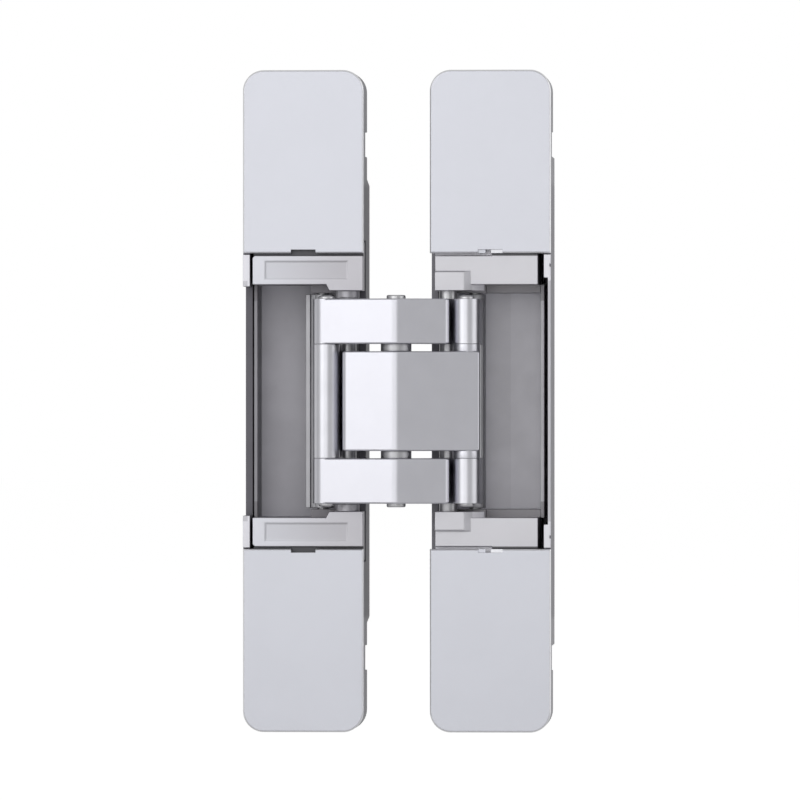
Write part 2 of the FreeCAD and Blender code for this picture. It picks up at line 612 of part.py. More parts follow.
# Rockers that tie each link's far end to the other leaf
lip_x = HEEL_X - HEEL_LIP
groove_x = lip_x - HEEL_GROOVE
groove = box(groove_x, lip_x, BARREL_Y, ROCKER_ROOT_Y - HEEL_WEB, -HALF, HALF)
tall = rocker([(RUN - ARM_START, ARM_START - RUN)], HEEL_X, groove_x)
nodes["frame_rocker"] = flip_x(tall.cut(groove))
arms = [(ARM_START, ARM_END), (-ARM_END, -ARM_START)]
nodes["door_rocker"] = rocker(arms, DOOR_HEEL_X, DOOR_HEEL_X)
nodes["frame_rocker_pin"] = rod(-ROCKER_ROOT_X, ROCKER_ROOT_Y, ROCKER_PIN_R, -pin_half, pin_half)
nodes["door_rocker_pin"] = flip_x(nodes["frame_rocker_pin"])

# Adjusting screws, reached when a cover is off
nodes["frame_depth_screw_upper"] = flip_x(depth_screw())
nodes["frame_depth_screw_lower"] = flip_z(nodes["frame_depth_screw_upper"])
nodes["door_clamp_screw_upper"] = clamp_screw()
nodes["door_clamp_screw_lower"] = flip_z(nodes["door_clamp_screw_upper"])

# The origin goes to the middle of the whole hinge, halfway from the links to the box backs.
front = APEX_Y + APEX_R * (1 / math.cos(SLOPE) - 1)
to_middle = FreeCAD.Vector(0, -(BOX_DEPTH + front) / 2, 0)

os.makedirs("parts", exist_ok=True)
for name, shape in nodes.items():
    if shape.ShapeType == "Compound" and len(shape.Solids) == 1:
        shape = shape.Solids[0]
    shape.translate(to_middle)
    shape.exportStep("parts/" + name + ".step")
print("link turn", math.degrees(LINK_TURN), "cross ratio", CROSS_RATIO)
print("rocker hole", ROCKER_HOLE_X, ROCKER_HOLE_Y, ROCKER_HOLE_R, "play", ROCKER_PLAY)
print("moved by", to_middle.y)
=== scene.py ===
import bmesh
import bpy
import json
import math
import numpy as np
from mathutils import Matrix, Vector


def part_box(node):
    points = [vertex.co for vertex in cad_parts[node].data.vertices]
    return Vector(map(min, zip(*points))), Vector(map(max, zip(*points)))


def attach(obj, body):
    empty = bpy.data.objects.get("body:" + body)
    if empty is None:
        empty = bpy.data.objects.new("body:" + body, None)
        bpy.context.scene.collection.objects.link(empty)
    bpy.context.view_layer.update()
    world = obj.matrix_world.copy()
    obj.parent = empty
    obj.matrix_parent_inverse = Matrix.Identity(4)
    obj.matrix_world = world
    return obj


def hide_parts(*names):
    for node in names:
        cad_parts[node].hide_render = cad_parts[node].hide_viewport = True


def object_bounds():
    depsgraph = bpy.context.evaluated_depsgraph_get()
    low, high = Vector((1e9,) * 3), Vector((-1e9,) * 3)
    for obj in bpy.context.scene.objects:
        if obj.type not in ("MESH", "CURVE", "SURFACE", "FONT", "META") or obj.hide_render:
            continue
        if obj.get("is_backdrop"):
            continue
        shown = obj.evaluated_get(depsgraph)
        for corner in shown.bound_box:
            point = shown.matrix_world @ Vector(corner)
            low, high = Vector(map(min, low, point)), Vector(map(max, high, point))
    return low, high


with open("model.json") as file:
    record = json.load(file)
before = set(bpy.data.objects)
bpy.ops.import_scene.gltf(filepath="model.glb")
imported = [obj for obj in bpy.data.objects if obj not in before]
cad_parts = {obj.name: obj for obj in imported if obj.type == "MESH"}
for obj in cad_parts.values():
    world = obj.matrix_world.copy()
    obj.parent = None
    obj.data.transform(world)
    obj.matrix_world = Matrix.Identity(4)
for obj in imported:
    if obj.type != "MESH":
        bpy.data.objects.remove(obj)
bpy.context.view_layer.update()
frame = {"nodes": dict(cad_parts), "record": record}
nodes = frame["nodes"]
body_of = {node: body for body, held in frame["record"]["behaviour"]["bodies"].items()
           for node in held}

# Leaf housings: one zinc casting per leaf, a shallow plate with a deep open box in its middle.
# They are satin chrome plated. The faces that show are buffed, and the sides and the inside of
# the box keep the dull skin of the mould, whose darker colour is partly painted shade: it is
# darker in the box than at the ends, and darker on the frame side.
MM = 0.001
FACE_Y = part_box("frame_housing")[0].y
HOUSING_FACE = (0.76, 0.755, 0.80, 1)
END_SKIN_AND_SHADE = {"frame": (0.28, 0.28, 0.30, 1), "door": (0.36, 0.355, 0.38, 1)}
BOX_SKIN_AND_SHADE = {"frame": (0.17, 0.165, 0.185, 1), "door": (0.27, 0.265, 0.29, 1)}
CAST_CLOUD = 9 * MM
CAST_GRAIN = 0.22 * MM
CAST_PITS = 0.7 * MM
CAST_BUMP = 0.012 * MM
FACE_CLOUDING = 0.03
FACE_DEPTH = 0.35 * MM
SKIN_CLOUDING = 0.08
SKIN_BLEND = 0.5 * MM
SKIN_WANDER = 2.5 * MM
SKIN_DRIFT = 0.1 * MM
SKIN_ROUGHER = 0.14
HOUSING_ROUGHNESS = 0.40
HOUSING_DULLNESS = 0.45
HOUSING_EDGE = 0.12 * MM
BOX_HALF = 53.5 * MM
BOX_SOFT = 2 * MM
THIN_WALL_X = 36.0 * MM
THIN_WALL_HALF = 29.2 * MM
THIN_WALL_SOFT = (0.2 * MM, 0.3 * MM)
THIN_WALL_SHADE = 0.24
MERGE_DISTANCE = 0.02 * MM
FLAT_ANGLE = math.radians(0.4)
SHARP_ANGLE = math.radians(18)
SIDE_BY_SIDE = math.cos(math.radians(30))


class Socket:
    """One output of a node, so that sums on values read as arithmetic."""

    def __init__(self, nodework, out):
        self.nodework = nodework
        self.out = out

    def math(self, operation, a, b):
        return self.nodework.math(operation, a, b)

    def __add__(self, other):
        return self.math("ADD", self, other)

    def __radd__(self, other):
        return self.math("ADD", other, self)

    def __sub__(self, other):
        return self.math("SUBTRACT", self, other)

    def __rsub__(self, other):
        return self.math("SUBTRACT", other, self)

    def __mul__(self, other):
        return self.math("MULTIPLY", self, other)

    def __rmul__(self, other):
        return self.math("MULTIPLY", other, self)

    def __abs__(self):
        return self.math("ABSOLUTE", self, 0.0)


class Nodework:
    """The nodes of one material or of the room, added one by one."""

    def __init__(self, tree):
        self.tree = tree
        self.tree.nodes.clear()

    def node(self, kind, settings=None, values=None, out=0):
        """Adds one node: its settings first, then its sockets' values or links."""
        made = self.tree.nodes.new("ShaderNode" + kind)
        for name, value in (settings or {}).items():
            setattr(made, name, value)
        for name, value in (values or {}).items():
            if isinstance(value, Socket):
                self.tree.links.new(value.out, made.inputs[name])
            else:
                made.inputs[name].default_value = value
        return Socket(self, made.outputs[out]) if len(made.outputs) else None

    def outputs(self, kind, names, values=None):
        """Adds one node and gives those of its outputs that are named."""
        made = self.node(kind, values=values).out.node
        return [Socket(self, made.outputs[name]) for name in names]

    def math(self, operation, a, b):
        return self.node("Math", {"operation": operation}, {0: a, 1: b})

    def ramp(self, value, low, high, start=0.0, stop=1.0):
        """Runs smoothly from start to stop while the value goes from low to high."""
        return self.node("MapRange", {"interpolation_type": "SMOOTHSTEP"},
                         {0: value, 1: low, 2: high, 3: start, 4: stop})

    def band(self, value, low, high, soft):
        """Is 1 between low and high, and 0 beyond them, with a soft step at either."""
        return (self.ramp(value, low - soft, low + soft)
                * self.ramp(value, high - soft, high + soft, 1.0, 0.0))


class Finish(Nodework):
    """A surface finish in the making, which becomes one material."""

    def __init__(self, name):
        self.material = bpy.data.materials.new(name)
        self.material.use_nodes = True
        super().__init__(self.material.node_tree)

    def place(self):
        """Where a point lies on the piece, in metres."""
        return self.node("TexCoord", out="Object")

    def axis(self, name):
        return self.outputs("SeparateXYZ", [name], {0: self.place()})[0]

    def noise(self, size, detail=2.0, stretch=(1, 1, 1)):
        """Soft noise from 0 to 1 whose lumps are about this size, in metres, along each axis."""
        scale = [1 / (size * s) for s in stretch]
        at = self.node("Mapping", values={"Vector": self.place(), "Scale": scale})
        return self.node("TexNoise", values={"Vector": at, "Scale": 1.0, "Detail": detail})

    def tint(self, factor, a, b, blend="MIX"):
        """Colour b over colour a: sockets 6 and 7 take them, and output 2 gives the result."""
        return self.node("Mix", {"data_type": "RGBA", "blend_type": blend},
                         {0: factor, 6: a, 7: b}, out=2)

    def shaded(self, colour, share):
        """The colour made darker by this share."""
        bright = 1 - share
        grey = self.node("CombineColor", values={0: bright, 1: bright, 2: bright})
        return self.tint(1.0, colour, grey, "MULTIPLY")

    def clouded(self, colour, cloud, depth):
        """The colour with soft clouds that are darker by this share."""
        dark = [c * (1 - depth) for c in colour[:3]] + [1]
        return self.tint(self.ramp(cloud, 0.3, 0.7), dark, colour)

    def bump(self, height, depth):
        """Normals of a surface that stands proud by this depth, in metres, where height is 1."""
        return self.node("Bump", values={"Height": height, "Distance": depth, "Strength": 1.0})

    def metal(self, colour, roughness, normal, edge_tint, metallic=1.0):
        """The metal shader: edge_tint is how much a surface seen edge-on still mirrors."""
        values = {"Base Color": colour, "Roughness": roughness, "Metallic": metallic,
                  "Normal": normal, "Specular Tint": (edge_tint, edge_tint, edge_tint, 1)}
        shader = self.node("BsdfPrincipled", values=values)
        self.node("OutputMaterial", values={"Surface": shader})


def satin_casting(finish, face, skin_and_shade, face_depth, roughness, dullness):
    """Buffed faces near the front plane and, past the face's depth, the pitted mould skin,
    which is rougher, and less of a metal by its dullness. Its colour, darker than the faces,
    is partly painted shade of the deeper surfaces."""
    depth = finish.axis("Y") - FACE_Y
    drift = finish.noise(SKIN_WANDER) * SKIN_DRIFT
    skin_share = finish.ramp(depth + drift, face_depth, face_depth + SKIN_BLEND)
    grain = finish.noise(CAST_GRAIN)
    pits = finish.noise(CAST_PITS, detail=3.0)
    finish.metal(colour=finish.tint(skin_share, face, skin_and_shade),
                 roughness=roughness + skin_share * SKIN_ROUGHER + (grain - 0.5) * 0.05,
                 normal=finish.bump(grain * 0.4 + pits * skin_share, CAST_BUMP),
                 edge_tint=0.55, metallic=1 - skin_share * dullness)


def eased_copy(name, material, width):
    """The node's own shape with its sharp edges broken: a merged copy, then a narrow bevel.
    Where two sharp edges leave a corner side by side, the shorter one stays as it is."""
    mesh = nodes[name].data.copy()
    work = bmesh.new()
    work.from_mesh(mesh)
    bmesh.ops.remove_doubles(work, verts=work.verts, dist=MERGE_DISTANCE)
    bmesh.ops.dissolve_limit(work, angle_limit=FLAT_ANGLE, verts=work.verts, edges=work.edges)
    broken = work.edges.layers.float.new("bevel_weight_edge")
    for line in work.edges:
        line[broken] = float(line.calc_face_angle(0) > SHARP_ANGLE)
    for corner in work.verts:
        sharp = sorted((line for line in corner.link_edges if line[broken]),
                       key=lambda line: line.calc_length())
        ways = [(line.other_vert(corner).co - corner.co).normalized() for line in sharp]
        for i, line in enumerate(sharp):
            if any(ways[i].dot(way) > SIDE_BY_SIDE for way in ways[i + 1:]):
                line[broken] = 0.0
    work.to_mesh(mesh)
    work.free()
    mesh.shade_smooth()
    mesh.materials.clear()
    mesh.materials.append(material)
    piece = bpy.data.objects.new(name + "_finished", mesh)
    bpy.context.scene.collection.objects.link(piece)
    edge = piece.modifiers.new("broken_edges", "BEVEL")
    edge.limit_method = "WEIGHT"
    edge.width = width
    edge.segments = 2
    edge.use_clamp_overlap = False
    edge.loop_slide = False
    shading = piece.modifiers.new("flat_faces", "WEIGHTED_NORMAL")
    shading.weight = 100
    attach(piece, body_of[name])
    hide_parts(name)


for side in ("frame", "door"):
    housing_finish = Finish(side + "_leaf_casting")
    cloud = housing_finish.noise(CAST_CLOUD, detail=3.0)
    height = abs(housing_finish.axis("Z"))
    # Painted shade of the deep box: inside it the skin colour is darker than at the ends.
    on_box = housing_finish.ramp(height, BOX_HALF, BOX_HALF - BOX_SOFT)
    skin_and_shade = housing_finish.tint(
        on_box, housing_finish.clouded(END_SKIN_AND_SHADE[side], cloud, SKIN_CLOUDING),
        housing_finish.clouded(BOX_SKIN_AND_SHADE[side], cloud, SKIN_CLOUDING))
    across = abs(housing_finish.axis("X"))
    # Painted shade: the front faces of the thin walls beside the box are made darker.
    thin_wall_shade_mask = (housing_finish.ramp(across, THIN_WALL_X, THIN_WALL_X + THIN_WALL_SOFT[0])
                 * housing_finish.ramp(height, THIN_WALL_HALF, THIN_WALL_HALF - THIN_WALL_SOFT[1]))
    face = housing_finish.shaded(housing_finish.clouded(HOUSING_FACE, cloud, FACE_CLOUDING),
                                 thin_wall_shade_mask * THIN_WALL_SHADE)
    satin_casting(housing_finish, face, skin_and_shade, FACE_DEPTH, HOUSING_ROUGHNESS, HOUSING_DULLNESS)
    eased_copy(side + "_housing", housing_finish.material, HOUSING_EDGE)

# Covers: four flat caps over the screw holes of the leaf ends, with a fine bevel all round.
# Each is a thin pressing with the same satin chrome, laid even and smooth, and it snaps in.
# The bevel is painted brighter than the flat: a painted highlight.
COVER_COLOUR = (0.68, 0.69, 0.745, 1)
COVER_BEVEL_HIGHLIGHT = (0.95, 0.95, 0.97, 1)
COVER_CLOUD = 14 * MM
COVER_CLOUDING = 0.025
COVER_GRAIN = 0.16 * MM
COVER_BUMP = 0.003 * MM
COVER_ROUGHNESS = 0.38
COVER_FLAT = 0.06 * MM
COVER_BEVEL = 0.35 * MM
COVER_BEVEL_SOFT = 0.05 * MM
COVER_EDGE = 0.08 * MM
cover_finish = Finish("cover_satin")
cloud = cover_finish.noise(COVER_CLOUD, detail=3.0)
grain = cover_finish.noise(COVER_GRAIN, detail=1.0)
# Painted highlight: the bevel's band takes a bright colour.
painted_rim = cover_finish.band(cover_finish.axis("Y") - FACE_Y, COVER_FLAT, COVER_BEVEL,
                        COVER_BEVEL_SOFT)
cover_finish.metal(
    colour=cover_finish.tint(painted_rim, cover_finish.clouded(COVER_COLOUR, cloud, COVER_CLOUDING),
                             COVER_BEVEL_HIGHLIGHT),
    roughness=COVER_ROUGHNESS + (grain - 0.5) * 0.06 + (cloud - 0.5) * 0.04,
    normal=cover_finish.bump(grain, COVER_BUMP), edge_tint=0.7)
for side in ("frame", "door"):
    for end in ("upper", "lower"):
        eased_copy(side + "_cover_" + end, cover_finish.material, COVER_EDGE)

# Carriers: a casting in each box, with two end blocks that hold the pins and a pocket floor.
# The block faces are buffed like the covers, with painted light and shade in their colour, and
# the pocket keeps a rough mould skin whose colour carries painted shade. On the frame side each
# block has a bare recessed field, left a little duller, with a painted shade line round its rim.
BLOCK_PAINTED_LIT = (0.71, 0.715, 0.765, 1)
BLOCK_PAINTED_SHADED = (0.575, 0.565, 0.60, 1)
BLOCK_FACE = (0.67, 0.665, 0.70, 1)
BLOCK_ENDS = (-36 * MM, -9 * MM)
BLOCK_ROUGHNESS = 0.42
BLOCK_TOP = 35.1 * MM
BLOCK_DEPTH = {"frame": 3.6 * MM, "door": 1.7 * MM}
FIELD_MIDDLE = (-21.88 * MM, 31.65 * MM)
FIELD_HALF = (10.08 * MM, 2.25 * MM)
FIELD_SOFT = 0.15 * MM
FIELD_SHADE = 0.06
FIELD_RIM = (-0.16 * MM, 0.10 * MM)
FIELD_RIM_SOFT = 0.14 * MM
FIELD_RIM_SHADE = 0.04
FIELD_DULLER = 0.04
POCKET_SKIN_AND_SHADE = {"frame": (0.65, 0.64, 0.685, 1), "door": (0.88, 0.87, 0.915, 1)}
POCKET_SHADE = 0.22
POCKET_SHADED = {"frame": (-33 * MM, -22 * MM), "door": (19 * MM, 33 * MM)}
POCKET_RIM_X = 34.1 * MM
POCKET_RIM_SHADE = {"frame": 0.38, "door": 0.08}
POCKET_RIM_SOFT = 0.3 * MM
RIM_FOOT_X = 33.9 * MM
RIM_FOOT_SHADE = 0.2
STEP_X = 26.6 * MM
STEP_LIGHTER = 0.05
LEDGE_SKIN_AND_SHADOW = {"frame": (0.30, 0.29, 0.31, 1), "door": (0.40, 0.39, 0.41, 1)}
LEDGE_DEPTHS = (6 * MM, 14 * MM)
LEDGE_DEPTH_SOFT = 0.5 * MM
LEDGE_FROM = 24.2 * MM
LEDGE_SOFT = 0.3 * MM
UNDER_COVER_SHADE = 0.8
CARRIER_DULLNESS = 0.3
CARRIER_EDGE = 0.15 * MM
LINE_SOFT = 0.1 * MM
for side in ("frame", "door"):
    casting = Finish(side + "_carrier_casting")
    cloud = casting.noise(CAST_CLOUD, detail=3.0)
    across = casting.axis("X")
    height = abs(casting.axis("Z"))
    depth = casting.axis("Y") - FACE_Y
    roughness = BLOCK_ROUGHNESS
    # Painted shade on the pocket: graded across the floor, and darker at its outer rim.
    shade = (casting.ramp(across, *POCKET_SHADED[side], 0.0, POCKET_SHADE)
             + casting.ramp(abs(across), POCKET_RIM_X, POCKET_RIM_X + POCKET_RIM_SOFT,
                            0.0, POCKET_RIM_SHADE[side]))
    if side == "frame":
        # Painted light and shade: the block faces run lighter towards the outer end, darker
        # inwards.
        face = casting.tint(casting.ramp(across, *BLOCK_ENDS), BLOCK_PAINTED_LIT, BLOCK_PAINTED_SHADED)
        outside = casting.math("MAXIMUM", abs(across - FIELD_MIDDLE[0]) - FIELD_HALF[0],
                               abs(height - FIELD_MIDDLE[1]) - FIELD_HALF[1])
        field = casting.ramp(outside, FIELD_SOFT, -FIELD_SOFT)
        # Painted shade: a soft dark line round the field's rim.
        painted_rim = casting.band(outside, *FIELD_RIM, FIELD_RIM_SOFT)
        face = casting.shaded(face, field * FIELD_SHADE + painted_rim * FIELD_RIM_SHADE)
        roughness += field * FIELD_DULLER
    else:
        face = casting.clouded(BLOCK_FACE, cloud, FACE_CLOUDING)
        # Painted light past the door side's step, and a painted shade line at the rim's foot.
        step = casting.ramp(across, STEP_X - LINE_SOFT, STEP_X + LINE_SOFT)
        foot = casting.band(across, RIM_FOOT_X, POCKET_RIM_X, LINE_SOFT)
        shade += foot * RIM_FOOT_SHADE - step * STEP_LIGHTER
    # Painted shade on the block tops beyond the covers' edge, where the covers' notches show them.
    under_cover = casting.ramp(height, BLOCK_TOP - LINE_SOFT, BLOCK_TOP + LINE_SOFT)
    face = casting.shaded(face, under_cover * UNDER_COVER_SHADE)
    # Painted shadow: the deep ledges and pads beside the pins take a darker colour.
    on_ledge = (casting.band(depth, *LEDGE_DEPTHS, LEDGE_DEPTH_SOFT)
                * casting.ramp(height, LEDGE_FROM, LEDGE_FROM + LEDGE_SOFT))
    # The pocket's skin colour is darker on the frame side, as painted shade.
    pocket = casting.shaded(casting.clouded(POCKET_SKIN_AND_SHADE[side], cloud, SKIN_CLOUDING), shade)
    skin_and_shade = casting.tint(on_ledge, pocket, LEDGE_SKIN_AND_SHADOW[side])
    satin_casting(casting, face, skin_and_shade, BLOCK_DEPTH[side], roughness, CARRIER_DULLNESS)
    eased_copy(side + "_carrier", casting.material, CARRIER_EDGE)

# Pivot pins: ground steel rods through the blocks, which the links turn on.
# Their ends are turned to a soft edge, and fine rings from the grinding run round them.
PIN_COLOUR = (0.60, 0.60, 0.615, 1)
PIN_RING = 0.08 * MM
PIN_BUMP = 0.002 * MM
PIN_ROUGHNESS = 0.33
PIN_EDGE = 0.4 * MM
RINGS_AROUND = (30, 30, 1)
AROUND = 96
TURNED_SHARP = math.radians(35)
pin_finish = Finish("pin_steel")
rings = pin_finish.noise(PIN_RING, detail=1.0, stretch=RINGS_AROUND)
pin_finish.metal(colour=PIN_COLOUR, roughness=PIN_ROUGHNESS + (rings - 0.5) * 0.08,
                 normal=pin_finish.bump(rings, PIN_BUMP), edge_tint=0.8)


def arc(radius, height, across, along, start, stop, steps=8):
    """Part of an ellipse in a profile: the angle runs from start to stop in degrees, and the
    radius adds its cosine times across while the height adds its sine times along."""
    angle = np.radians(np.linspace(start, stop, steps))
    return np.stack([radius + across * np.cos(angle), height + along * np.sin(angle)])


def turned(node, ending, profile, centre, along, ends, material):
    """A profile carried round an axis: each point is the centre, plus its height along the
    axis, plus its radius times the unit circle. Without ends the profile closes on itself,
    and with them it is closed by a point on the axis at either height."""
    radius, height = profile
    rows = len(height)
    if np.ndim(radius) == 1:
        radius = np.repeat(radius[:, None], AROUND, axis=1)
    angle = np.linspace(0, 2 * np.pi, AROUND, endpoint=False)
    u, v, w = {"Z": np.eye(3), "Y": np.eye(3)[[2, 0, 1]]}[along]
    circle = np.cos(angle)[:, None] * u + np.sin(angle)[:, None] * v
    points = np.array(centre) + radius[:, :, None] * circle + height[:, None, None] * w
    points = points.reshape(-1, 3)
    i, j = np.meshgrid(np.arange(rows if ends is None else rows - 1), np.arange(AROUND),
                       indexing="ij")
    here = i * AROUND + j
    beside = i * AROUND + (j + 1) % AROUND
    above = (i + 1) % rows * AROUND + (j + 1) % AROUND
    over = (i + 1) % rows * AROUND + j
    faces = np.stack([here, beside, above, over], axis=-1).reshape(-1, 4).tolist()
    if ends is not None:
        j = np.arange(AROUND)
        following = (j + 1) % AROUND
        tip = np.full(AROUND, len(points))
        last = (rows - 1) * AROUND
        faces += np.stack([tip, following, j], axis=-1).tolist()
        faces += np.stack([tip + 1, last + j, last + following], axis=-1).tolist()
        tips = np.array(centre) + np.array(ends)[:, None] * w
        points = np.concatenate([points, tips])
    mesh = bpy.data.meshes.new(node + ending)
    mesh.from_pydata(points.tolist(), [], faces)
    mesh.shade_smooth()
    mesh.set_sharp_from_angle(angle=TURNED_SHARP)
    mesh.materials.append(material)
    piece = bpy.data.objects.new(node + ending, mesh)
    bpy.context.scene.collection.objects.link(piece)
    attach(piece, body_of[node])
    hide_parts(node)


def upright(node):
    """The middle, the radius and half the length of a round piece that stands along Z."""
    low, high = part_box(node)
    return (low + high) / 2, (high.x - low.x) / 2, (high.z - low.z) / 2


def plain_pin(node, edge):
    """A round rod whose two ends are eased by a quarter circle of this size."""
    middle, radius, half = upright(node)
    profile = np.hstack([arc(radius - edge, edge - half, edge, edge, -90, 0),
                         arc(radius - edge, half - edge, edge, edge, 0, 90)])
    turned(node, "_ground", profile, middle, "Z", (-half, half),
           pin_finish.material)


for side in ("frame", "door"):
    plain_pin(side + "_pivot_pin", PIN_EDGE)

# Links: the forged crossing pieces, satin chrome all over with faintly lengthwise polish.
# The fork is two arms on shared pins, and the centre link is one wide piece between them.
LINK_COLOUR = (0.70, 0.70, 0.75, 1)
LINK_CLOUD = 8 * MM
LINK_CLOUDING = 0.03
LINK_GRAIN = 0.2 * MM
LINK_BRUSH = 0.12 * MM
BRUSHED_ACROSS = (24, 24, 1)
LINK_BUMP = 0.003 * MM
LINK_ROUGHNESS = 0.30
LINK_EDGE = 0.10 * MM
link_finish = Finish("link_satin")
cloud = link_finish.noise(LINK_CLOUD, detail=3.0)
grain = link_finish.noise(LINK_GRAIN)
brush = link_finish.noise(LINK_BRUSH, stretch=BRUSHED_ACROSS)
link_finish.metal(colour=link_finish.clouded(LINK_COLOUR, cloud, LINK_CLOUDING),
                  roughness=LINK_ROUGHNESS + (brush - 0.5) * 0.05 + (cloud - 0.5) * 0.04,
                  normal=link_finish.bump(grain * 0.5 + brush * 0.5, LINK_BUMP), edge_tint=0.25)
for node in ("fork_link_upper", "fork_link_lower", "centre_link"):
    eased_copy(node, link_finish.material, LINK_EDGE)

# Barrel pins: a rivet through each barrel, its shank inside and a low dome at either end.
# They are the same ground steel as the pivot pins, and are upset cold once they are in.
BARREL_SHANK_R = 1.5 * MM
HEAD_HEIGHT = 0.9 * MM
DOME_HEIGHT = 0.6 * MM
DOME_END = 84
DOME_STEPS = 12
for node in ("fork_barrel_pin", "centre_link_barrel_pin"):
    middle, head_r, half = upright(node)
    under = half - HEAD_HEIGHT
    rivet = np.hstack([
        arc(0, DOME_HEIGHT - half, head_r, DOME_HEIGHT, -DOME_END, 0, DOME_STEPS),
        [[head_r, BARREL_SHANK_R, BARREL_SHANK_R, head_r], [-under, -under, under, under]],
        arc(0, half - DOME_HEIGHT, head_r, DOME_HEIGHT, 0, DOME_END, DOME_STEPS)])
    turned(node, "_rivet", rivet, middle, "Z", (-half, half), pin_finish.material)

# Crossing pin, its washers and the barrel spacers: turned steel rings and a pin with soft ends.
# The washers keep the fork's arms off the centre link, and the spacers fill out the barrels.
WASHER_COLOUR = (0.56, 0.56, 0.58, 1)
WASHER_RING = 0.06 * MM
WASHER_BUMP = 0.002 * MM
WASHER_ROUGHNESS = 0.36
WASHER_BORE = 2.3 * MM
RING_EDGE = 0.05 * MM
washer_finish = Finish("washer_steel")
rings = washer_finish.noise(WASHER_RING, detail=1.0, stretch=RINGS_AROUND)
washer_finish.metal(colour=WASHER_COLOUR, roughness=WASHER_ROUGHNESS + (rings - 0.5) * 0.08,
                    normal=washer_finish.bump(rings, WASHER_BUMP), edge_tint=0.8)
plain_pin("centre_pin", PIN_EDGE)
for kind, bore, material in (("centre_washer_", WASHER_BORE, washer_finish.material),
                             ("barrel_spacer_", BARREL_SHANK_R, link_finish.material)):
    for end in ("upper", "lower"):
        middle, outer, half = upright(kind + end)
        e = RING_EDGE
        ring = np.hstack([arc(outer - e, e - half, e, e, -90, 0),
                          arc(outer - e, half - e, e, e, 0, 90),
                          arc(bore + e, half - e, e, e, 90, 180),
                          arc(bore + e, e - half, e, e, 180, 270)])
        turned(kind + end, "_turned", ring, middle, "Z", None, material)

# Rockers: the two-barrelled castings that tie each link's far end to the other leaf.
# They are satin chrome in front, and rougher further in, where the polishing doesn't reach.
# Further in their colour is also darker by painted shade, most on the frame side.
ROCKER_COLOUR = (0.74, 0.74, 0.785, 1)
ROCKER_SKIN_AND_SHADE = {"frame": (0.44, 0.44, 0.46, 1), "door": (0.72, 0.72, 0.74, 1)}
ROCKER_CLOUD = 6 * MM
ROCKER_CLOUDING = 0.05
ROCKER_SKIN_CLOUDING = 0.10
ROCKER_SKIN_DEPTHS = (3 * MM, 8 * MM)
ROCKER_GRAIN = 0.2 * MM
ROCKER_BUMP = 0.004 * MM
ROCKER_ROUGHNESS = 0.30
ROCKER_SKIN_ROUGHER = 0.12
ROCKER_EDGE = 0.12 * MM
ROCKER_PIN_EDGE = 0.3 * MM
for side in ("frame", "door"):
    rocker_finish = Finish(side + "_rocker_satin")
    cloud = rocker_finish.noise(ROCKER_CLOUD, detail=3.0)
    grain = rocker_finish.noise(ROCKER_GRAIN)
    # Past these depths the rocker is rougher, and its colour darker by painted shade.
    inner = rocker_finish.ramp(rocker_finish.axis("Y") - FACE_Y, *ROCKER_SKIN_DEPTHS)
    front = rocker_finish.clouded(ROCKER_COLOUR, cloud, ROCKER_CLOUDING)
    skin_and_shade = rocker_finish.clouded(ROCKER_SKIN_AND_SHADE[side], cloud, ROCKER_SKIN_CLOUDING)
    rocker_finish.metal(colour=rocker_finish.tint(inner, front, skin_and_shade),
                        roughness=(ROCKER_ROUGHNESS + (grain - 0.5) * 0.06
                                   + inner * ROCKER_SKIN_ROUGHER),
                        normal=rocker_finish.bump(grain, ROCKER_BUMP), edge_tint=0.6)
    eased_copy(side + "_rocker", rocker_finish.material, ROCKER_EDGE)
    plain_pin(side + "_rocker_pin", ROCKER_PIN_EDGE)

# Adjusting screws: under each cover a zinc plated screw with a hexagon socket in its head.
# The frame side's lift the carrier on their thread, and the door side's clamp its slotted tab.
SCREW_COLOUR = (0.52, 0.52, 0.54, 1)
SCREW_CLOUD = 1.5 * MM
SCREW_CLOUDING = 0.12
SCREW_GRAIN = 0.1 * MM
SCREW_BUMP = 0.003 * MM
SCREW_ROUGHNESS = 0.33
SCREW_EDGE = 0.3 * MM
THREAD_PITCH = 0.8 * MM
THREAD_DEPTH = 0.35 * MM
THREAD_ROWS = 10
SOCKET_ACROSS = 3.0 * MM
DEPTH_SOCKET = 3.0 * MM
DEPTH_TIP_R = 1.6 * MM
DEPTH_TIP_LENGTH = 4.8 * MM
CLAMP_HEAD = 2.8 * MM
CLAMP_SOCKET = 1.9 * MM
CLAMP_SHANK_R = 2.4 * MM
CLAMP_THREAD_FROM = 2 * CLAMP_HEAD
screw_finish = Finish("screw_zinc")
cloud = screw_finish.noise(SCREW_CLOUD)
grain = screw_finish.noise(SCREW_GRAIN)
screw_finish.metal(colour=screw_finish.clouded(SCREW_COLOUR, cloud, SCREW_CLOUDING),
                   roughness=SCREW_ROUGHNESS + (grain - 0.5) * 0.08,
                   normal=screw_finish.bump(grain, SCREW_BUMP), edge_tint=0.7)


def rounds(radius, height):
    """Rows of full circles for a profile's radii, beside their heights."""
    return np.repeat(np.asarray(radius)[:, None], AROUND, axis=1), np.asarray(height)


def socket_rows(floor):
    """A hexagon's rows from the socket's floor up to the head's top at height 0: at each angle
    the radius is half the width across the flats, divided by the cosine of the angle from the
    nearest flat's middle."""
    angle = np.linspace(0, 360, AROUND, endpoint=False)
    off = np.radians((angle + 30) % 60 - 30)
    flat = SOCKET_ACROSS / 2 / np.cos(off)
    return np.stack([flat, flat]), np.array([floor, 0])


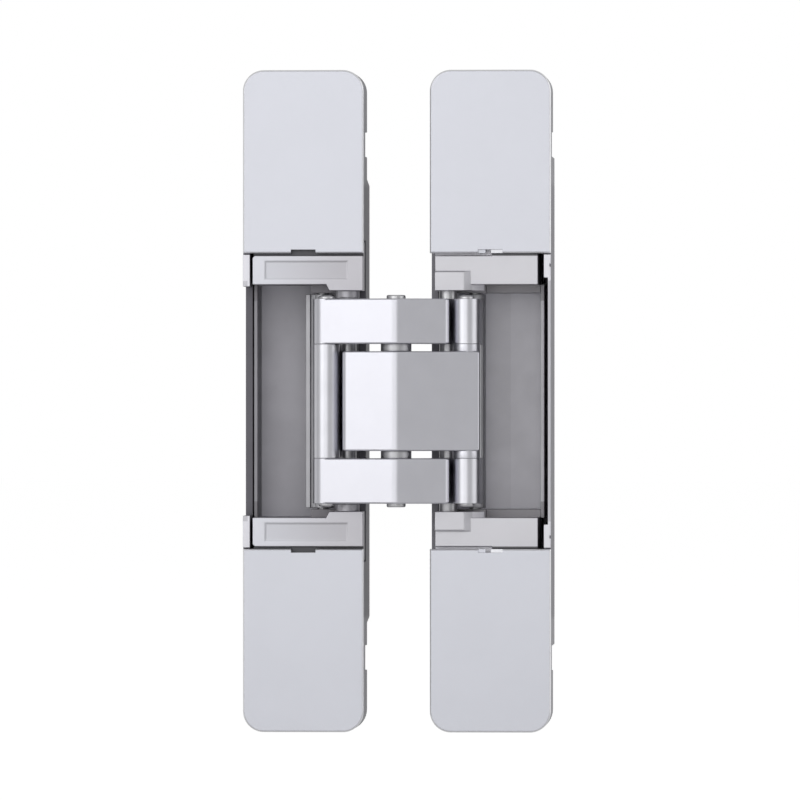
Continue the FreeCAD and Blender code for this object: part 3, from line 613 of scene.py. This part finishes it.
def thread_rows(radius, start, stop):
    """A screw thread: the radius falls by the thread's depth times a clipped cosine of the
    height in pitches less the turn, and both ends run out to the core."""
    height = np.arange(start, stop, THREAD_PITCH / THREAD_ROWS)
    turn = np.linspace(0, 1, AROUND, endpoint=False)
    wave = np.cos(2 * np.pi * (height[:, None] / THREAD_PITCH - turn))
    groove = np.clip(0.5 + 0.8 * wave, 0, 1)
    inset = np.minimum(height - start, stop - height)[:, None]
    lead = np.clip(1 - inset / THREAD_PITCH, 0, 1)
    return radius - THREAD_DEPTH * np.maximum(groove, lead), height


def threaded(node, socket, rows):
    """A screw that points along Y, with its head's top at the node's front: a socket this
    deep, then these rows of its profile."""
    low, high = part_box(node)
    middle = (low + high) / 2
    rows = [socket_rows(socket)] + rows
    profile = (np.vstack([radius for radius, height in rows]),
               np.hstack([height for radius, height in rows]))
    turned(node, "_threaded", profile, (middle.x, low.y, middle.z), "Y",
           (socket, high.y - low.y), screw_finish.material)


for end in ("upper", "lower"):
    low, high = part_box("frame_depth_screw_" + end)
    shank_r = (high.x - low.x) / 2
    core = shank_r - THREAD_DEPTH
    length = high.y - low.y
    shank_end = length - DEPTH_TIP_LENGTH
    threaded("frame_depth_screw_" + end, DEPTH_SOCKET, [
        rounds([core - SCREW_EDGE, core], [0, SCREW_EDGE]),
        thread_rows(shank_r, SCREW_EDGE, shank_end),
        rounds([core, DEPTH_TIP_R, DEPTH_TIP_R, DEPTH_TIP_R - SCREW_EDGE],
               [shank_end, shank_end, length - SCREW_EDGE, length])])
    low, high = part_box("door_clamp_screw_" + end)
    head_r = (high.x - low.x) / 2
    core = CLAMP_SHANK_R - THREAD_DEPTH
    length = high.y - low.y
    threaded("door_clamp_screw_" + end, CLAMP_SOCKET, [
        rounds([head_r - SCREW_EDGE, head_r, head_r, CLAMP_SHANK_R, CLAMP_SHANK_R],
               [0, SCREW_EDGE, CLAMP_HEAD, CLAMP_HEAD, CLAMP_THREAD_FROM]),
        thread_rows(CLAMP_SHANK_R, CLAMP_THREAD_FROM, length - SCREW_EDGE),
        rounds([core, core - SCREW_EDGE], [length - SCREW_EDGE, length])])

# Floor: a pale studio floor below the hinge, which is held up as when it is fixed to a door.
# It is lit like the rest, with a little light of its own so that it meets the white behind it.
WHITE = (1, 1, 1, 1)
BLACK = (0, 0, 0, 1)
FLOOR_COLOUR = (0.8, 0.8, 0.8, 1)
FLOOR_GLOW = 0.55
FLOOR_DROP = 55 * MM
FLOOR_HALF = 12.0
FLOOR_FAR = 0.3
RAYS = ("Is Camera Ray", "Is Glossy Ray", "Is Transmission Ray")
floor_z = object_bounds()[0].z - FLOOR_DROP
floor_mesh = bpy.data.meshes.new("studio_floor")
floor_mesh.from_pydata([(x * FLOOR_HALF, y * FLOOR_HALF, floor_z)
                        for x, y in ((-1, -1), (1, -1), (1, 1), (-1, 1))], [], [(0, 1, 2, 3)])
floor = bpy.data.objects.new("studio_floor", floor_mesh)
bpy.context.scene.collection.objects.link(floor)
floor_finish = Finish("studio_floor")
camera_ray, glossy_ray, clear_ray = floor_finish.outputs("LightPath", RAYS)
far_part = floor_finish.ramp(floor_finish.axis("Y"), 0.0, FLOOR_FAR)
glow = floor_finish.tint(camera_ray + (glossy_ray + clear_ray) * far_part, BLACK, WHITE)
floor_shader = floor_finish.node("BsdfPrincipled", values={
    "Base Color": FLOOR_COLOUR, "Roughness": 0.9, "Specular IOR Level": 0.0,
    "Emission Color": glow, "Emission Strength": FLOOR_GLOW})
floor_finish.node("OutputMaterial", values={"Surface": floor_shader})
floor_mesh.materials.append(floor_finish.material)
floor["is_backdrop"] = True

# Light: a big soft lamp on the left, weaker ones close in front and on the right, a grey room.
# The room is white behind the object, for the camera and for what the metal mirrors there.
ROOM_GREY = 0.56
ROOM_WHITE = 1.0
BEHIND = (0.6, 0.95)
world = bpy.data.worlds.new("studio")
bpy.context.scene.world = world
world.use_nodes = True
room = Nodework(world.node_tree)
direction = room.node("TexCoord", out="Generated")
behind = room.ramp(room.outputs("SeparateXYZ", ["Y"], {0: direction})[0], *BEHIND)
camera_ray, glossy_ray, clear_ray = room.outputs("LightPath", RAYS)
grey = room.node("Background", values={"Color": WHITE, "Strength": ROOM_GREY})
white = room.node("Background", values={"Color": WHITE, "Strength": ROOM_WHITE})
shown = room.node("MixShader", values={0: camera_ray + (glossy_ray + clear_ray) * behind,
                                       1: grey, 2: white})
room.node("OutputWorld", values={"Surface": shown})


def soft_lamp(name, azimuth, elevation, distance, width, height, radiance):
    """A flat lamp that faces the object, of a given brightness seen from the front."""
    data = bpy.data.lights.new(name, "AREA")
    data.shape = "RECTANGLE"
    data.size = width
    data.size_y = height
    data.energy = radiance * math.pi * width * height
    lamp = bpy.data.objects.new(name, data)
    a = math.radians(azimuth)
    e = math.radians(elevation)
    lamp.location = (distance * math.sin(a) * math.cos(e), -distance * math.cos(a) * math.cos(e),
                     distance * math.sin(e))
    bpy.context.scene.collection.objects.link(lamp)
    lamp.rotation_mode = "QUATERNION"
    lamp.rotation_quaternion = lamp.location.to_track_quat("Z", "Y")
    lamp.visible_camera = False


soft_lamp("key_lamp", azimuth=-36, elevation=8, distance=2.4, width=1.4, height=2.6,
          radiance=1.25)
soft_lamp("front_lamp", azimuth=-4, elevation=12, distance=1.1, width=0.55, height=0.85,
          radiance=0.75)
soft_lamp("right_lamp", azimuth=74, elevation=4, distance=2.2, width=1.5, height=2.4,
          radiance=0.66)

# Camera: straight on at the hinge's height, a few degrees to the right, through a long lens.
# It aims at the middle of the two leaves' faces.
CAMERA_AZIMUTH = math.radians(3.1)
CAMERA_DISTANCE = 2.05
CAMERA_AIM = (0.8 * MM, FACE_Y, 0.27 * MM)
camera_data = bpy.data.cameras.new("camera")
camera_data.sensor_width = 36.0
camera_data.lens = 382.0
camera_data.clip_start = 0.01
camera_data.clip_end = 100.0
camera = bpy.data.objects.new("camera", camera_data)
camera.location = (CAMERA_AIM[0] + CAMERA_DISTANCE * math.sin(CAMERA_AZIMUTH),
                   CAMERA_AIM[1] - CAMERA_DISTANCE * math.cos(CAMERA_AZIMUTH), CAMERA_AIM[2])
camera.rotation_euler = (math.pi / 2, 0, CAMERA_AZIMUTH)
bpy.context.scene.collection.objects.link(camera)
bpy.context.scene.camera = camera
bpy.context.scene.view_settings.view_transform = "Standard"

low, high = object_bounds()
